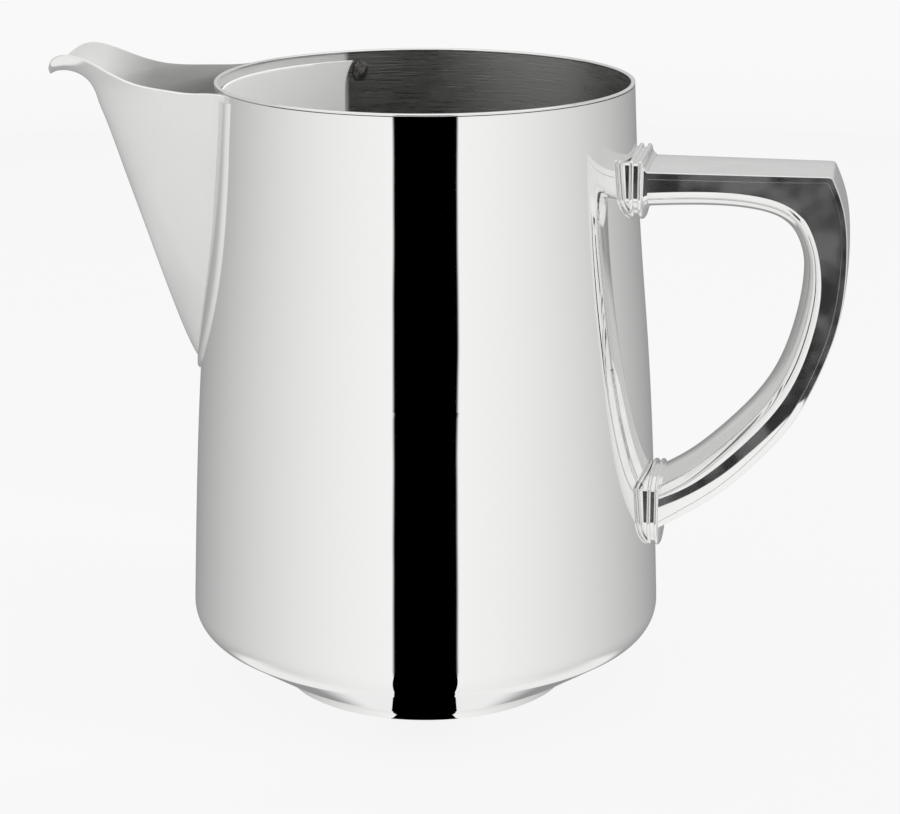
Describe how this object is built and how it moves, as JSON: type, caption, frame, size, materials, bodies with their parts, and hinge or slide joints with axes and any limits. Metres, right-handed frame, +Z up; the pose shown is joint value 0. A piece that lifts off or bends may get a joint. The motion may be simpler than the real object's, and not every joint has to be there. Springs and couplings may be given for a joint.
{
  "type": "jug",
  "caption": "Tapered round metal table jug with a V-shaped pouring spout, an ice guard inside the mouth and a hollow D handle held by two moulded collars.",
  "frame": {"origin": "on the axis of the round body, in the plane that the foot ring stands on", "axes": "+Z up along the body's axis, +X towards the handle, -X towards the spout"},
  "size_m": [0.2208, 0.1312, 0.1754],
  "materials": {
    "polished_silver": "mirror polished silver plate",
    "satin_silver": "unpolished inside face of the sheet, fine satin",
    "solder": "dull grey solder"
  },
  "bodies": {
    "root": {"body_wall": "polished_silver", "bottom_pan": "polished_silver", "foot_ring": "polished_silver", "rim_wire": "polished_silver", "spout": "polished_silver", "spout_border": "polished_silver", "ice_guard": "satin_silver", "guard_tacks": "solder", "handle_channel": "polished_silver", "handle_strip": "polished_silver", "upper_collar": "polished_silver", "lower_collar": "polished_silver"}
  },
  "joints": []
}
